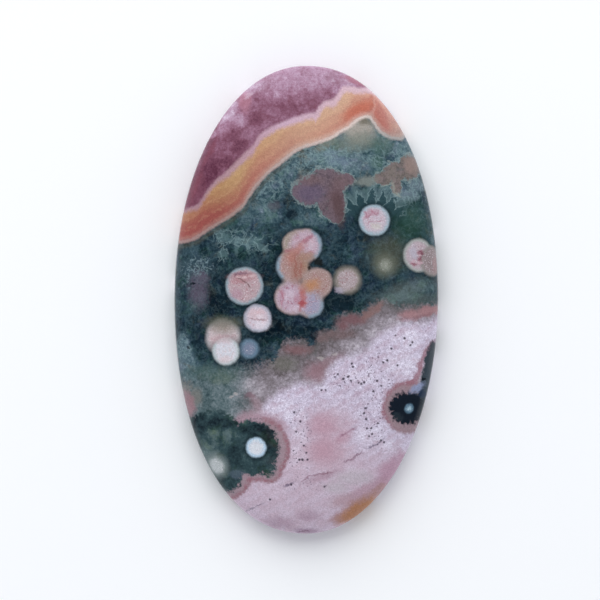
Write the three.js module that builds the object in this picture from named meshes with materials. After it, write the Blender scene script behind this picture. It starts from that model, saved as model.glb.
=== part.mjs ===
// An oval cabochon of ocean jasper: one polished piece of stone with a flat base, a small bevel
// round it, a wall that leans in a little, and a low dome with a rounded shoulder.
// Millimetres, +Z up. The stone lies on its base at z = 0, with its long axis on Y and the
// origin under its middle.
import * as THREE from "three";
import { mergeVertices } from "three/addons/utils/BufferGeometryUtils.js";

// Driving dimensions
const LENGTH = 46.74;
const WIDTH = 26.38;
const HEIGHT = 5.4;

// The hand-ground outline is a superellipse whose roundness differs a little in each quarter.
// 2 is an ellipse, and more is fuller at the corners.
const ROUNDNESS = {
  upperRight: 2.15,
  upperLeft: 2.05,
  lowerLeft: 2.16,
  lowerRight: 2.0,
};

// The edge, from the base up
const BEVEL_INSET = 0.55;
const BEVEL_HEIGHT = 0.5;
const SHOULDER_HEIGHT = 1.9;
const WALL_LEAN = 0.22;

// The dome's section is a superellipse too: a flat crown, then a round shoulder
const CROWN_FLATNESS = 2.5;
const SHOULDER_ROUNDNESS = 1.9;

const AROUND = 96;
const DOME_RINGS = 14;

// One ring of the stone's surface. share is its size beside the outline's, inset is how far it
// then stands in, square to the outline, and z is its height.
function domeRing(step) {
  const angle = (step / DOME_RINGS) * (Math.PI / 2);
  const rise = Math.sin(angle) ** (2 / SHOULDER_ROUNDNESS);
  return {
    share: step === DOME_RINGS ? 0 : Math.cos(angle) ** (2 / CROWN_FLATNESS),
    inset: WALL_LEAN,
    z: SHOULDER_HEIGHT + (HEIGHT - SHOULDER_HEIGHT) * rise,
  };
}

const RINGS = [
  { share: 0, inset: 0, z: 0 },
  { share: 1, inset: BEVEL_INSET, z: 0 },
  { share: 1, inset: 0, z: BEVEL_HEIGHT },
  ...Array.from({ length: DOME_RINGS + 1 }, (_, step) => domeRing(step)),
];

function roundnessAt(x, y) {
  if (y >= 0) return x >= 0 ? ROUNDNESS.upperRight : ROUNDNESS.upperLeft;
  return x >= 0 ? ROUNDNESS.lowerRight : ROUNDNESS.lowerLeft;
}

const signedPower = (value, power) => Math.sign(value) * Math.abs(value) ** power;

// The outline's point for a direction of the unit circle, and the outward normal there
function outlineAt(x, y) {
  const roundness = roundnessAt(x, y);
  const point = new THREE.Vector2(
    (WIDTH / 2) * signedPower(x, 2 / roundness),
    (LENGTH / 2) * signedPower(y, 2 / roundness),
  );
  const normal = new THREE.Vector2(
    signedPower((2 * point.x) / WIDTH, roundness - 1) / WIDTH,
    signedPower((2 * point.y) / LENGTH, roundness - 1) / LENGTH,
  ).normalize();
  return { point, normal };
}

// A round body is turned from the rings, and each of its points is then moved onto the oval.
function stoneGeometry() {
  const profile = RINGS.map((ring) => new THREE.Vector2(ring.share, ring.z));
  const turned = new THREE.LatheGeometry(profile, AROUND).rotateX(Math.PI / 2);
  const position = turned.getAttribute("position");
  for (let i = 0; i < position.count; i++) {
    const ring = RINGS[i % RINGS.length];
    if (ring.share === 0) {
      position.setXYZ(i, 0, 0, ring.z);
      continue;
    }
    const { point, normal } = outlineAt(
      position.getX(i) / ring.share,
      position.getY(i) / ring.share,
    );
    point.addScaledVector(normal, -ring.inset).multiplyScalar(ring.share);
    position.setXYZ(i, point.x, point.y, ring.z);
  }
  turned.deleteAttribute("normal");
  turned.deleteAttribute("uv");
  const closed = mergeVertices(turned);
  closed.computeVertexNormals();
  return closed;
}

const polishedJasper = new THREE.MeshStandardMaterial({
  color: 0x6f6a72,
  roughness: 0.3,
  metalness: 0,
});

const cabochon = new THREE.Mesh(stoneGeometry(), polishedJasper);
cabochon.name = "cabochon";

const part = new THREE.Group();
part.add(cabochon);
export default part;
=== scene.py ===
import math
import bmesh
import bpy
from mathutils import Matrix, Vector


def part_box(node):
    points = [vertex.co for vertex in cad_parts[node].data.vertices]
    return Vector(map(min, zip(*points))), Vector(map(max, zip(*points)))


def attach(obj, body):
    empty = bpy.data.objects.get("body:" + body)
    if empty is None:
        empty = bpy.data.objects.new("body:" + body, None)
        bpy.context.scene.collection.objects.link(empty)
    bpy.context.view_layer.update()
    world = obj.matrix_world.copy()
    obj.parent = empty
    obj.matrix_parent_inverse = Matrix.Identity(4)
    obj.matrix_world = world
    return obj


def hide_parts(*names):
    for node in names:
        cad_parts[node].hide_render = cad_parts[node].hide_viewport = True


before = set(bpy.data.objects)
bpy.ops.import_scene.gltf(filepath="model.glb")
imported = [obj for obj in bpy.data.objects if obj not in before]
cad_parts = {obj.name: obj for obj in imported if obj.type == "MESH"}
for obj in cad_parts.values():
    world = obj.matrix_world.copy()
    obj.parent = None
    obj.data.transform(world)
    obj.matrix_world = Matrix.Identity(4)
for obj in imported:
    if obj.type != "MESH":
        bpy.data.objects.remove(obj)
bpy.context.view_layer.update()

# The view: straight down on the stone as it lies on its back, from far enough off that its
# low dome hardly draws its own edge in. The stone is a little right of the picture's middle.
MM = 0.001
VIEW_WIDTH = 60 * MM
LENS_MM = 200
SENSOR_MM = 36
VIEW_MIDDLE = (-0.63 * MM, -0.03 * MM)
GIRDLE_HEIGHT = 0.5 * MM

camera = bpy.data.objects.new("camera", bpy.data.cameras.new("camera"))
camera.data.lens = LENS_MM
camera.data.sensor_width = SENSOR_MM
camera.data.clip_start = 0.01
camera.location = (*VIEW_MIDDLE, GIRDLE_HEIGHT + VIEW_WIDTH * LENS_MM / SENSOR_MM)
bpy.context.collection.objects.link(camera)
bpy.context.scene.camera = camera

# The light: one wide soft panel beyond the mauve end, which leaves a faint shadow below the
# stone, in a pale room that is bright low down and dim overhead.
bpy.context.scene.view_settings.view_transform = "Standard"
PANEL_PLACE = (-0.10, 0.50, 0.42)
PANEL_SIZE = 0.8
PANEL_WATTS = 4.6
ROOM_COLOUR = (0.93, 0.96, 1.0, 1)
HORIZON_STRENGTH = 1.5
OVERHEAD_STRENGTH = 0.14

panel = bpy.data.lights.new("soft_panel", "AREA")
panel.shape = "SQUARE"
panel.size = PANEL_SIZE
panel.energy = PANEL_WATTS
panel_object = bpy.data.objects.new("soft_panel", panel)
panel_object.location = PANEL_PLACE
panel_object.rotation_euler = Vector(PANEL_PLACE).to_track_quat("Z", "Y").to_euler()
panel_object.visible_glossy = False
bpy.context.collection.objects.link(panel_object)

room = bpy.data.worlds.new("pale_room")
room.use_nodes = True
room_nodes = room.node_tree.nodes
room_links = room.node_tree.links
backdrop = room_nodes["Background"]
backdrop.inputs["Color"].default_value = ROOM_COLOUR
direction = room_nodes.new("ShaderNodeTexCoord")
upward = room_nodes.new("ShaderNodeSeparateXYZ")
room_links.new(direction.outputs["Generated"], upward.inputs["Vector"])
dimming = room_nodes.new("ShaderNodeMapRange")
room_links.new(upward.outputs["Z"], dimming.inputs["Value"])
dimming.inputs["To Min"].default_value = HORIZON_STRENGTH
dimming.inputs["To Max"].default_value = OVERHEAD_STRENGTH
room_links.new(dimming.outputs["Result"], backdrop.inputs["Strength"])
room.cycles_visibility.glossy = False
bpy.context.scene.world = room

# The floor: a plain sheet of smooth white card, nearly matt, that the stone lies loose on. It
# reaches far past the edges of the view.
FLOOR_WIDTH = 3.0
CARD_COLOUR = (0.955, 0.965, 0.985, 1)

floor_mesh = bmesh.new()
bmesh.ops.create_grid(floor_mesh, x_segments=1, y_segments=1, size=FLOOR_WIDTH / 2)
card = bpy.data.materials.new("white_card")
card.use_nodes = True
card_shader = card.node_tree.nodes["Principled BSDF"]
card_shader.inputs["Base Color"].default_value = CARD_COLOUR
card_shader.inputs["Roughness"].default_value = 0.9
card_shader.inputs["Specular IOR Level"].default_value = 0.1
floor_data = bpy.data.meshes.new("floor")
floor_mesh.to_mesh(floor_data)
floor_mesh.free()
floor_data.materials.append(card)
floor = bpy.data.objects.new("floor", floor_data)
bpy.context.collection.objects.link(floor)

# The stone: one piece of jasper, ground to an oval on a wheel and polished. It has a flat back,
# a small bevel round that, a wall that leans in and a low dome with a round shoulder.
stone_low, stone_high = (Vector(corner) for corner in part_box("cabochon"))
LENGTH = stone_high.y - stone_low.y
WIDTH = stone_high.x - stone_low.x
HEIGHT = stone_high.z - stone_low.z
# How full the outline is in each quarter, by whether x and y are positive. 2 is an ellipse.
FULLNESS = {(True, True): 2.15, (False, True): 2.05, (False, False): 2.16, (True, False): 2.0}
BEVEL_INSET = 0.55 * MM
BEVEL_HEIGHT = 0.5 * MM
SHOULDER_HEIGHT = 1.9 * MM
WALL_LEAN = 0.08 * MM
CROWN_FLATNESS = 2.5
SHOULDER_ROUNDNESS = 1.9
AROUND = 288
WALL_RINGS = 6
DOME_RINGS = 60
# The wall runs straight on into the dome as far as this ring, so that no dent is left between.
FIRST_DOME_RING = 3
EDGE_ROUNDING = 0.14 * MM


def dome_height(share):
    """The face's height at a share of the way from the stone's middle to its outline."""
    crown = max(0, 1 - share ** CROWN_FLATNESS) ** 0.5
    return SHOULDER_HEIGHT + (HEIGHT - SHOULDER_HEIGHT) * crown ** (2 / SHOULDER_ROUNDNESS)


def outline_at(direction):
    """The outline's point for a direction of the unit circle, and the outward normal there."""
    fullness = FULLNESS[direction.x >= 0, direction.y >= 0]
    point = Vector((
        math.copysign(abs(direction.x) ** (2 / fullness), direction.x) * WIDTH / 2,
        math.copysign(abs(direction.y) ** (2 / fullness), direction.y) * LENGTH / 2,
    ))
    normal = Vector((
        math.copysign(abs(2 * point.x / WIDTH) ** (fullness - 1), point.x) / WIDTH,
        math.copysign(abs(2 * point.y / LENGTH) ** (fullness - 1), point.y) / LENGTH,
    ))
    return point, normal.normalized()


# Each ring is its share of the outline, how far it then stands in, and its height.
rings = [(0, 0, 0), (0.5, BEVEL_INSET, 0), (1, BEVEL_INSET, 0)]
for step in range(WALL_RINGS + 1):
    climb = step / WALL_RINGS
    rings.append((1, WALL_LEAN * climb, BEVEL_HEIGHT + (SHOULDER_HEIGHT - BEVEL_HEIGHT) * climb))
for step in range(FIRST_DOME_RING, DOME_RINGS + 1):
    share = max(0, math.cos(step / DOME_RINGS * math.pi / 2)) ** (2 / CROWN_FLATNESS)
    share = share if step < DOME_RINGS else 0
    rings.append((share, WALL_LEAN, dome_height(share)))

stone_mesh = bmesh.new()
inset_layer = stone_mesh.verts.layers.float.new("inset")
profile = []
for share, inset, height in rings:
    corner = stone_mesh.verts.new((share, 0, height))
    corner[inset_layer] = inset
    profile.append(corner)
profile_edges = [stone_mesh.edges.new(pair) for pair in zip(profile, profile[1:])]
bmesh.ops.spin(
    stone_mesh,
    geom=profile + profile_edges,
    axis=(0, 0, 1),
    cent=(0, 0, 0),
    angle=2 * math.pi,
    steps=AROUND,
    use_merge=True,
)
MERGE_DISTANCE = 1e-5
bmesh.ops.remove_doubles(stone_mesh, verts=stone_mesh.verts, dist=MERGE_DISTANCE)
for corner in stone_mesh.verts:
    share = corner.co.xy.length
    if share > MERGE_DISTANCE:
        point, normal = outline_at(corner.co.xy / share)
        corner.co.xy = (point - normal * corner[inset_layer]) * share
bmesh.ops.recalc_face_normals(stone_mesh, faces=stone_mesh.faces)
# The two edges of the bevel are a little worn. They are the only sharp ones below the shoulder.
SHARP_ANGLE = math.radians(20)
bevel_edges = [
    edge for edge in stone_mesh.edges
    if edge.calc_face_angle(0) > SHARP_ANGLE and edge.verts[0].co.z < SHOULDER_HEIGHT
]
bmesh.ops.bevel(
    stone_mesh,
    geom=bevel_edges,
    offset=EDGE_ROUNDING,
    offset_type="OFFSET",
    segments=3,
    profile=0.5,
    affect="EDGES",
    material=-1,
)
stone_data = bpy.data.meshes.new("polished_stone")
stone_mesh.to_mesh(stone_data)
stone_mesh.free()
stone_data.shade_smooth()
stone = bpy.data.objects.new("polished_stone", stone_data)
bpy.context.collection.objects.link(stone)
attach(stone, "root")
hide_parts("cabochon")

# The jasper: quartz coloured right through by iron and by moss-like chlorite. Everything in it
# is placed in millimetres from the middle of the back, by sums that the material's nodes do.
jasper = bpy.data.materials.new("ocean_jasper")
jasper.use_nodes = True
stone_data.materials.append(jasper)
# The node tree that is being filled is the last of these: the material's, or a group's.
open_trees = [jasper.node_tree]
SOCKET_KINDS = {"VALUE": "NodeSocketFloat", "VECTOR": "NodeSocketVector", "RGBA": "NodeSocketColor"}
brought_in = {}


class Field:
    """A number, place or colour that changes through the stone, with sums done by nodes."""

    def __init__(self, socket):
        self.socket = socket

    def __add__(self, other):
        return reckon("ADD", self, other)

    def __sub__(self, other):
        return reckon("SUBTRACT", self, other)

    def __rsub__(self, other):
        return reckon("SUBTRACT", other, self)

    def __mul__(self, other):
        return reckon("MULTIPLY", self, other)

    def __truediv__(self, other):
        return reckon("DIVIDE", self, other)

    __radd__ = __add__
    __rmul__ = __mul__


def open_group(name):
    """Start a group of nodes, for one kind of stone."""
    open_trees.append(bpy.data.node_groups.new(name, "ShaderNodeTree"))
    open_trees[-1].nodes.new("NodeGroupInput")


def inside(field):
    """The socket that carries a field in the tree being filled, brought in where it's needed."""
    tree = open_trees[-1]
    if field.socket.id_data == tree:
        return field.socket
    if field not in brought_in:
        kind = SOCKET_KINDS[field.socket.type]
        tree.interface.new_socket(f"field {len(brought_in)}", in_out="INPUT", socket_type=kind)
        brought_in[field] = len(brought_in)
    return tree.nodes["Group Input"].outputs[brought_in[field]]


def close_group(result):
    """End the group, put it to use and give back its result."""
    group = open_trees.pop()
    kind = SOCKET_KINDS[result.socket.type]
    group.interface.new_socket("result", in_out="OUTPUT", socket_type=kind)
    group.links.new(result.socket, group.nodes.new("NodeGroupOutput").inputs[0])
    used = open_trees[-1].nodes.new("ShaderNodeGroup")
    used.node_tree = group
    for field, number in brought_in.items():
        open_trees[-1].links.new(field.socket, used.inputs[number])
    brought_in.clear()
    return Field(used.outputs[0])


def grow(kind, output, inputs, **settings):
    """Add a node, set and feed it, and give back one of its outputs."""
    tree = open_trees[-1]
    made = tree.nodes.new(kind)
    for name, value in settings.items():
        setattr(made, name, value)
    for name, value in inputs.items():
        if isinstance(value, Field):
            tree.links.new(inside(value), made.inputs[name])
        else:
            made.inputs[name].default_value = value
    return Field(made.outputs[output])


def reckon(operation, *values):
    """One sum on numbers."""
    return grow("ShaderNodeMath", 0, dict(enumerate(values)), operation=operation)


def shift(operation, *values):
    """One sum on places."""
    return grow("ShaderNodeVectorMath", 0, dict(enumerate(values)), operation=operation)


def measure(operation, *values):
    """One number from places: a length, a distance or a dot product."""
    return grow("ShaderNodeVectorMath", "Value", dict(enumerate(values)), operation=operation)


def fade(value, start, end, most=1.0):
    """A share that eases from 0 where the value is start to the most where it is end."""
    limits = {"Value": value, "From Min": start, "From Max": end, "To Max": most}
    return grow("ShaderNodeMapRange", 0, limits, interpolation_type="SMOOTHSTEP", clamp=False)


def near(value, middle, reach, most=1.0):
    """A share that has the most where the value is at the middle and 0 from reach away."""
    return fade(reckon("ABSOLUTE", value - middle), reach, 0, most)


def colour(red, green, blue):
    """A screen colour given from 0 to 255, as the shader's own numbers."""
    shares = (red / 255, green / 255, blue / 255)
    return (*(((s + 0.055) / 1.055) ** 2.4 if s > 0.04045 else s / 12.92 for s in shares), 1)


# The Mix node's sockets for colours: the share, what lies below, what lies above and the result
MIX_SHARE, MIX_BELOW, MIX_ABOVE, MIX_RESULT = 0, 6, 7, 2


def paint(below, above, share):
    """Lay one colour over another, by a share from 0 to 1."""
    layers = {MIX_SHARE: share, MIX_BELOW: below, MIX_ABOVE: above}
    return grow("ShaderNodeMix", MIX_RESULT, layers, data_type="RGBA")


def shades(value, *stops):
    """A colour for each value, between stops, which are a value and a colour each."""
    low, high = stops[0][0], stops[-1][0]
    share = value if (low, high) == (0, 1) else (value - low) / (high - low)
    mixed = grow("ShaderNodeValToRGB", "Color", {"Fac": share})
    ramp = mixed.socket.node.color_ramp
    for _ in stops[2:]:
        ramp.elements.new(0.5)
    for element, (at, shade) in zip(ramp.elements, stops):
        element.position = (at - low) / (high - low)
        element.color = colour(*shade)
    return mixed


def clouds(size, detail=2.0, roughness=0.5, away=0, twist=0.0):
    """Cloudy variation from about -1 to 1, with clouds of a size in mm, drawn out by a twist."""
    start = shift("ADD", place, (away, away, away)) if away else place
    looks = {"Vector": start, "Scale": 1 / size, "Detail": detail, "Roughness": roughness}
    return (grow("ShaderNodeTexNoise", "Fac", {**looks, "Distortion": twist}) - 0.5) * 4


object_place = grow("ShaderNodeTexCoord", "Object", {})
place = shift("MULTIPLY", object_place, (1 / MM, 1 / MM, 1 / MM))
level = measure("DOT_PRODUCT", place, (0, 0, 1))
depth = reckon("MAXIMUM", SHOULDER_HEIGHT / MM - level, 0)

# Below the shoulder the layers slant, and wander as they go down, so the back has its own face.
SLANT = (0.4, 0.6)
WANDER_SIZE = 7
WANDER = 1.8
wander_x = clouds(WANDER_SIZE, 1) * WANDER + SLANT[0]
wander_y = clouds(WANDER_SIZE, 1, away=50) * WANDER + SLANT[1]
drift = grow("ShaderNodeCombineXYZ", 0, {"X": wander_x * depth, "Y": wander_y * depth})

# Every outline in the stone is uneven: the long seams a little, and the patches more.
RUFFLE = 0.24
SEAM_CALM = 0.35
ruffle_x = clouds(0.8, 4, 0.75, away=20) * RUFFLE
ruffle_y = clouds(0.8, 4, 0.75, away=25) * RUFFLE
ruffle = grow("ShaderNodeCombineXYZ", 0, {"X": ruffle_x, "Y": ruffle_y})
slanted = shift("ADD", place, drift)
spot = shift("ADD", slanted, ruffle)
calm_spot = shift("MULTIPLY_ADD", ruffle, (SEAM_CALM, SEAM_CALM, 0), slanted)
x = measure("DOT_PRODUCT", calm_spot, (1, 0, 0))
y = measure("DOT_PRODUCT", calm_spot, (0, 1, 0))

# The kinds of unevenness that the colours share: patchy, toothed, wispy, laced and grainy
ragged = clouds(0.9, 3, 0.6)
crisp = clouds(0.3, 2, 0.6, away=31)
wisps = clouds(1.2, 4, 0.65, away=67, twist=0.5)
lace = near(clouds(0.95, 3, 0.6, away=9, twist=0.6), 0, 0.24)
felt = clouds(0.35, 3, 0.7, away=12, twist=0.4)
grain = clouds(0.12, 1, 0.5, away=45)
tint = clouds(1.7, 3, 0.65, away=3, twist=0.4)
other_tint = clouds(1.4, 3, 0.65, away=14, twist=0.4)
flecks = clouds(0.26, 2, 0.6, away=91)
worn = wisps * 0.1 + crisp * 0.09

SEAM_WIDTH = 27
SEAM_HEIGHT = 50
SEAM_STEP = 0.2
# A steeper slope than this doesn't narrow the distance to a seam any further.
STEEPEST = 1.2


def seam_height(points, nudge):
    """A seam's y for each x moved along by a nudge, drawn through points in mm."""
    across = (x + (SEAM_WIDTH / 2 + nudge)) / SEAM_WIDTH
    drawn = grow("ShaderNodeFloatCurve", 0, {"Value": across})
    mapping = drawn.socket.node.mapping
    curve = mapping.curves[0]
    for _ in points[2:]:
        curve.points.new(0.5, 0.5)
    for knot, (at_x, at_y) in zip(curve.points, points):
        knot.location = (at_x / SEAM_WIDTH + 0.5, at_y / SEAM_HEIGHT + 0.5)
        knot.handle_type = "AUTO_CLAMPED"
    mapping.update()
    return (drawn - 0.5) * SEAM_HEIGHT


def above_seam(points):
    """How far a place is above a seam, square to it, in mm."""
    rise = (seam_height(points, SEAM_STEP) - seam_height(points, -SEAM_STEP)) / (2 * SEAM_STEP)
    slope = reckon("MINIMUM", reckon("ABSOLUTE", rise), STEEPEST)
    return (y - seam_height(points, 0)) / reckon("SQRT", slope * slope + 1)


# Turned ovals are measured in turned copies of the place, this many degrees apart.
TURN_STEP = 10
sideways = shift("CROSS_PRODUCT", spot, (0, 0, 1))
turned_spots = {0: spot}
for turn in range(-4 * TURN_STEP, 5 * TURN_STEP, TURN_STEP):
    if turn:
        cosine, sine = math.cos(math.radians(turn)), math.sin(math.radians(turn))
        onward = shift("MULTIPLY", spot, (cosine, cosine, 0))
        turned_spots[turn] = shift("MULTIPLY_ADD", sideways, (sine, sine, 0), onward)


def oval(at_x, at_y, half_width, half_height, turn=0):
    """How far a place is from an oval's middle, as 1 on its edge. turn is in degrees."""
    quarters = round(turn / 90)
    turn = round((turn - quarters * 90) / TURN_STEP) * TURN_STEP
    if quarters % 2:
        half_width, half_height = half_height, half_width
    cosine, sine = math.cos(math.radians(turn)), math.sin(math.radians(turn))
    middle_x = (cosine * at_x + sine * at_y) / half_width
    middle_y = (cosine * at_y - sine * at_x) / half_height
    sizes = (1 / half_width, 1 / half_height, 0)
    sized = shift("MULTIPLY_ADD", turned_spots[turn], sizes, (-middle_x, -middle_y, 0))
    return measure("LENGTH", sized)


def merged(reaches, softness=0.3):
    """The distance to the nearest of several shapes, which melt together."""
    nearest = reaches[0]
    for reach in reaches[1:]:
        nearest = reckon("SMOOTH_MIN", nearest, reach, softness)
    return nearest


def stain(below, *stains):
    """Tint a colour in uneven ovals. Each stain is a colour, strength, softness and ovals."""
    for tone, strength, soft, *ovals in stains:
        reach = merged([oval(*shape) for shape in ovals]) + worn
        below = paint(below, colour(*tone), fade(reach, 1 + soft / 2, 1 - soft / 2, strength))
    return below


def lift(tone, *lifts):
    """Make a tone lighter or darker in soft ovals. Each lift is an amount and ovals."""
    for amount, *ovals in lifts:
        reach = merged([oval(*shape) for shape in ovals])
        tone = tone + fade(reach, 1.45, 0.55, amount)
    return tone


VEIN_OVERLAP = 1.1


def vein(below, tone, strength, half_width, soft, *points):
    """Draw a thin uneven line of colour through points in mm, as a row of long ovals."""
    stretches = []
    for (start_x, start_y), (end_x, end_y) in zip(points, points[1:]):
        run, rise = end_x - start_x, end_y - start_y
        half_length = math.hypot(run, rise) / 2 * VEIN_OVERLAP + half_width
        middle = ((start_x + end_x) / 2, (start_y + end_y) / 2)
        stretches.append((*middle, half_length, half_width, math.degrees(math.atan2(rise, run))))
    return stain(below, (tone, strength, soft, *stretches))


# The seams: the mauve end's jagged lower edge, the cream line where the band meets the moss, the
# pink upper edge of the greyer stretch, and the edge of the clear lilac quartz.
MAUVE_EDGE = [
    (-13.5, 8.6), (-11.9, 9.2), (-11, 9.5), (-10.5, 10), (-10, 10.8), (-9, 12), (-8.1, 12.7),
    (-7.3, 13.5), (-6.2, 14.6), (-5.2, 15.6), (-4.9, 16.2), (-4.2, 16.8), (-3, 17.5), (-2.2, 17.8),
    (0, 18.5), (0.9, 18.75), (1.15, 19.2), (1.7, 19.75), (2.55, 20.0), (3.0, 20.5), (3.55, 21.2),
    (4.1, 21.3), (5.2, 21.2), (6.2, 21.25), (13.5, 20),
]
CREAM_LINE = [
    (-13.5, 5.85), (-12, 5.88), (-11, 6.23), (-10, 6.87), (-7, 8.8), (-6.3, 9.4), (-5.4, 10.8),
    (-4.2, 12.3), (-2.5, 13.7), (-1, 14.9), (0, 15.3), (2, 15.95), (4, 17.1), (5.5, 18.15),
    (6.2, 18.25), (6.65, 17.8), (7.1, 17.1), (8.2, 16.25), (9.4, 16.1), (9.8, 16.5), (13.5, 17.7),
]
PINK_EDGE = [
    (-13.5, -8.0), (-10, -7.8), (-7.5, -7.4), (-6, -6.9), (-4.4, -6.4), (-3, -5.7), (-2.4, -4.5),
    (-1.6, -4.0), (-0.4, -4.0), (0.5, -4.6), (1, -4.3), (1.3, -3.4), (2.2, -3.2), (2.7, -2.8),
    (3.2, -2.1), (3.9, -1.4), (5, -1.5), (5.8, -1.2), (6.6, -0.5), (7.4, -0.1), (8.3, -0.3),
    (9.2, -0.7), (12, -0.5), (13.5, -0.4),
]
QUARTZ_EDGE = [
    (-13.5, -13.5), (-8, -12.5), (-5.4, -12.0), (-4.5, -11.1), (-4.0, -10.25), (-3.2, -9.5),
    (-2.1, -8.8), (-0.5, -8.3), (1.2, -8.3), (1.7, -7.9), (2.1, -7.0), (3, -6.1), (3.8, -5.6),
    (5.8, -4.9), (6.5, -4.0), (8, -3.0), (9, -2.5), (9.6, -2.3), (11, -2.3), (13.5, -1.6),
]
above_mauve_edge = above_seam(MAUVE_EDGE) + (0.22 + crisp * 0.06)
above_cream = above_seam(CREAM_LINE)
above_pink = above_seam(PINK_EDGE) + crisp * 0.16 + ragged * 0.16
above_quartz = above_seam(QUARTZ_EDGE) + crisp * 0.2 + ragged * 0.2

# The moss: green chlorite in clear quartz, lighter and cloudier near the band and darkest round
# the orbs, with teal, green, blue and olive wisps and a lace of pale crystal edges.
open_group("moss")
BASE_LIGHTNESS = 0.32
lightness = fade(above_cream, -10, -0.5, 0.25) + (BASE_LIGHTNESS + wisps * 0.22)
lightness = lightness + (felt * 0.09 + flecks * 0.11 - fade(x, -3, -8, 0.15) * fade(y, -3, 3))
# cloudier places, and dark ones round the orbs
lightness = lift(
    lightness,
    (0.04, (-11.8, 4.0, 1.3, 1.6), (-10.9, 2.4, 0.8, 1.0)),
    (0.16, (-12.4, -5.2, 0.9, 1.5)),
    (0.14, (-11, -7.2, 3, 1.0), (-7.5, -7.4, 2.5, 0.8)),
    (0.08, (-6.6, 6.0, 2.2, 0.8)),
    (0.18, (0.6, 8.0, 1.6, 0.9), (-1.1, 12.7, 1.1, 0.4)),
    (0.14, (-4.0, 8.6, 1.9, 0.8), (12.0, 5.9, 0.9, 0.9)),
    (0.16, (-11.7, -6.4, 0.8, 2.8)),
    (-0.14, (-3.4, 4.2, 1.8, 3.2), (-1.6, 9.0, 1.2, 1.4), (-3.3, -1.6, 1.2, 2.6)),
    (-0.09, (-9.5, 5.0, 4.0, 2.2), (-7.2, -0.6, 2.5, 1.3)),
    (-0.12, (-9.2, 0.5, 1.6, 2.6), (-10.6, -3.0, 1.2, 1.2)),
    (-0.14, (3.0, 0.0, 2.0, 1.3), (-2.6, -3.2, 3.2, 1.2), (1.0, -3.2, 1.6, 0.8)),
    (0.26, (10.6, 0.9, 2.0, 0.8, 20), (8.8, 0.2, 1.4, 0.6, 20)),
    (0.14, (12.4, 7.5, 1.0, 2.0), (11.0, 8.4, 1.4, 0.9)),
    (0.12, (10.1, 10.4, 1.4, 0.8), (10.2, 15.2, 1.2, 0.9)),
    (0.14, (3.6, 13.6, 3.0, 1.6), (5.4, 15.6, 3.2, 1.3)),
    (-0.08, (4.8, 8.2, 1.2, 1.5), (9.6, 7.6, 1.6, 1.2)),
)
moss = shades(
    lightness, (0, (8, 21, 31)), (0.25, (26, 45, 55)), (0.5, (54, 76, 86)), (0.75, (88, 110, 117)),
    (1, (132, 152, 156)),
)
green = shades(lightness, (0, (8, 24, 20)), (0.25, (24, 52, 44)), (0.5, (50, 84, 72)), (1, (124, 150, 134)))
olive = shades(
    lightness, (0, (20, 22, 20)), (0.25, (46, 48, 44)), (0.5, (82, 82, 72)), (1, (150, 145, 135))
)
blue = shades(lightness, (0, (10, 20, 34)), (0.25, (28, 42, 60)), (0.5, (60, 76, 94)), (1, (142, 154, 170)))
rock = paint(moss, green, fade(tint, 0.0, 0.8, 0.5))
rock = paint(rock, olive, fade(tint, -0.2, -0.9, 0.6))
rock = paint(rock, blue, fade(other_tint, 0.0, 0.8, 0.7))
# The stained places: first the pale spot under the band's peak and the others right of the
# middle, then those left of it
rock = stain(
    rock,
    ((158, 151, 143), 0.95, 0.9, (5.25, 16.8, 1.5, 1.3)),
    ((112, 120, 112), 0.7, 1.0, (5.0, 15.6, 2.2, 0.9, 10)),
    ((100, 94, 80), 0.7, 1.1, (5.6, 17.7, 0.8, 0.35, -10)),
    ((70, 96, 88), 0.6, 0.9, (7.6, 15.2, 1.1, 0.9), (7.0, 13.7, 0.7, 0.6)),
    ((104, 122, 138), 0.6, 0.9, (3.1, 13.7, 1.1, 0.5), (2.3, 14.4, 0.7, 0.4)),
    ((108, 124, 134), 0.7, 1.0, (10.1, 10.3, 1.1, 0.6), (10.9, 11.3, 0.9, 0.5)),
    ((72, 76, 66), 0.8, 1.2, (8.2, 4.6, 2.0, 1.7)),
    ((46, 78, 62), 0.55, 1.4, (10.3, 7.6, 1.8, 1.9)),
    ((32, 56, 52), 0.5, 1.2, (8.8, 8.0, 0.7, 1.1)),
    ((124, 126, 116), 0.65, 1.2, (1.9, 15.35, 1.2, 0.4, 30)),
    ((108, 118, 113), 0.4, 1.5, (9.5, 0.7, 2.8, 0.9, 20), (10.4, -0.1, 2.7, 0.8)),
    ((14, 28, 36), 0.6, 1.0, (3.0, -0.3, 2.0, 0.8, -10)),
    ((20, 34, 44), 0.9, 0.5, (-2.1, 9.6, 0.26, 0.34), (-1.5, 8.5, 0.5, 0.45)),
    ((84, 106, 118), 0.5, 1.0, (-12.3, -4.8, 0.5, 1.3), (-11.6, -5.7, 0.6, 0.6)),
    ((58, 76, 86), 0.5, 1.2, (-10.9, 3.0, 1.6, 1.2)),
    ((92, 84, 100), 0.75, 1.1, (-10.7, 0.9, 0.9, 1.7), (-10.3, 2.2, 0.6, 0.6)),
    ((14, 20, 30), 0.95, 0.5, (-11.2, 1.6, 0.3, 0.15), (-11.7, -4.8, 0.14, 0.16)),
    ((80, 102, 96), 0.6, 1.2, (-8.8, -7.3, 2.8, 0.8)),
    ((78, 72, 82), 0.6, 1.0, (-3.2, 9.2, 0.6, 0.5)),
    (
        (98, 124, 128), 0.5, 0.9, (-8.3, 6.3, 0.8, 0.5, -30), (-6.2, 5.8, 1.8, 0.35),
        (-4.4, 5.2, 0.7, 0.3, -40),
    ),
    ((98, 124, 128), 0.45, 0.9, (-8.3, 4.6, 0.5, 0.4), (-6.9, 5.0, 0.2, 0.6), (-5.7, 4.9, 0.15, 0.5)),
)
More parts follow.
